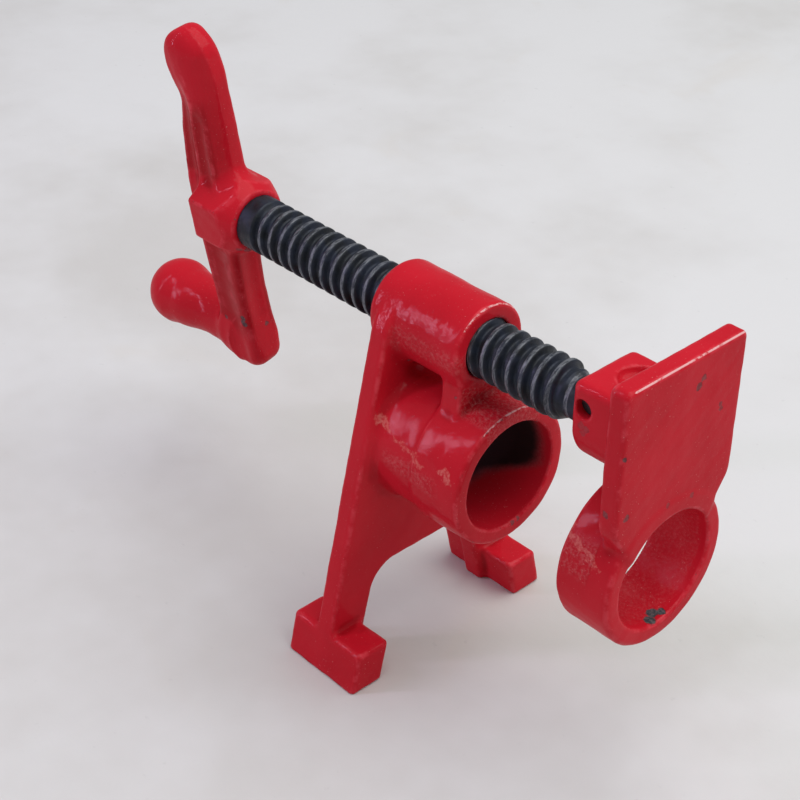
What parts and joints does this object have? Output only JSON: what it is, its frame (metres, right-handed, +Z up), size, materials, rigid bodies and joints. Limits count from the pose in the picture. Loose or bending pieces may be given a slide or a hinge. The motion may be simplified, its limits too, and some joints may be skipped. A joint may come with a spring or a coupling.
{
  "type": "pipe clamp head",
  "caption": "Cast head on two feet for a pipe, with a clamp screw, a crank handle and a sliding jaw that the screw pushes along the pipe.",
  "frame": {"origin": "centre of the pipe bore, in the plane of the pipe boss's front rim", "axes": "+X along the pipe and the screw, from the crank to the jaw; +Z up, from the pipe to the screw"},
  "size_m": [0.1832, 0.0642, 0.1357],
  "materials": {
    "head_paint": "thick glossy red enamel on cast iron",
    "crank_paint": "thick glossy red enamel on cast iron",
    "jaw_paint": "thick glossy red enamel on cast iron",
    "screw_steel": "black oxide with worn crests, lightly oiled",
    "pin_steel": "plain steel"
  },
  "bodies": {
    "head": {"head_casting": "head_paint"},
    "jaw": {"jaw": "jaw_paint", "jaw_pin": "pin_steel"},
    "spindle": {"clamp_screw": "screw_steel", "crank": "crank_paint", "crank_pin": "pin_steel"}
  },
  "joints": [
    {"name": "jaw_slide", "type": "slide", "parent": "head", "child": "jaw", "axis": [1, 0, 0], "range_m": [-0.0295, 0.0495]},
    {"name": "spindle_turn", "type": "hinge", "parent": "jaw", "child": "spindle", "pos_m": [0.025, 0, 0.0296], "axis": [1, 0, 0], "range_deg": [-2871.3, 4817.2]}
  ],
  "couplings": [
    {"joint": "spindle_turn", "follows": "jaw_slide", "rad_per_m": 1698.2}
  ]
}
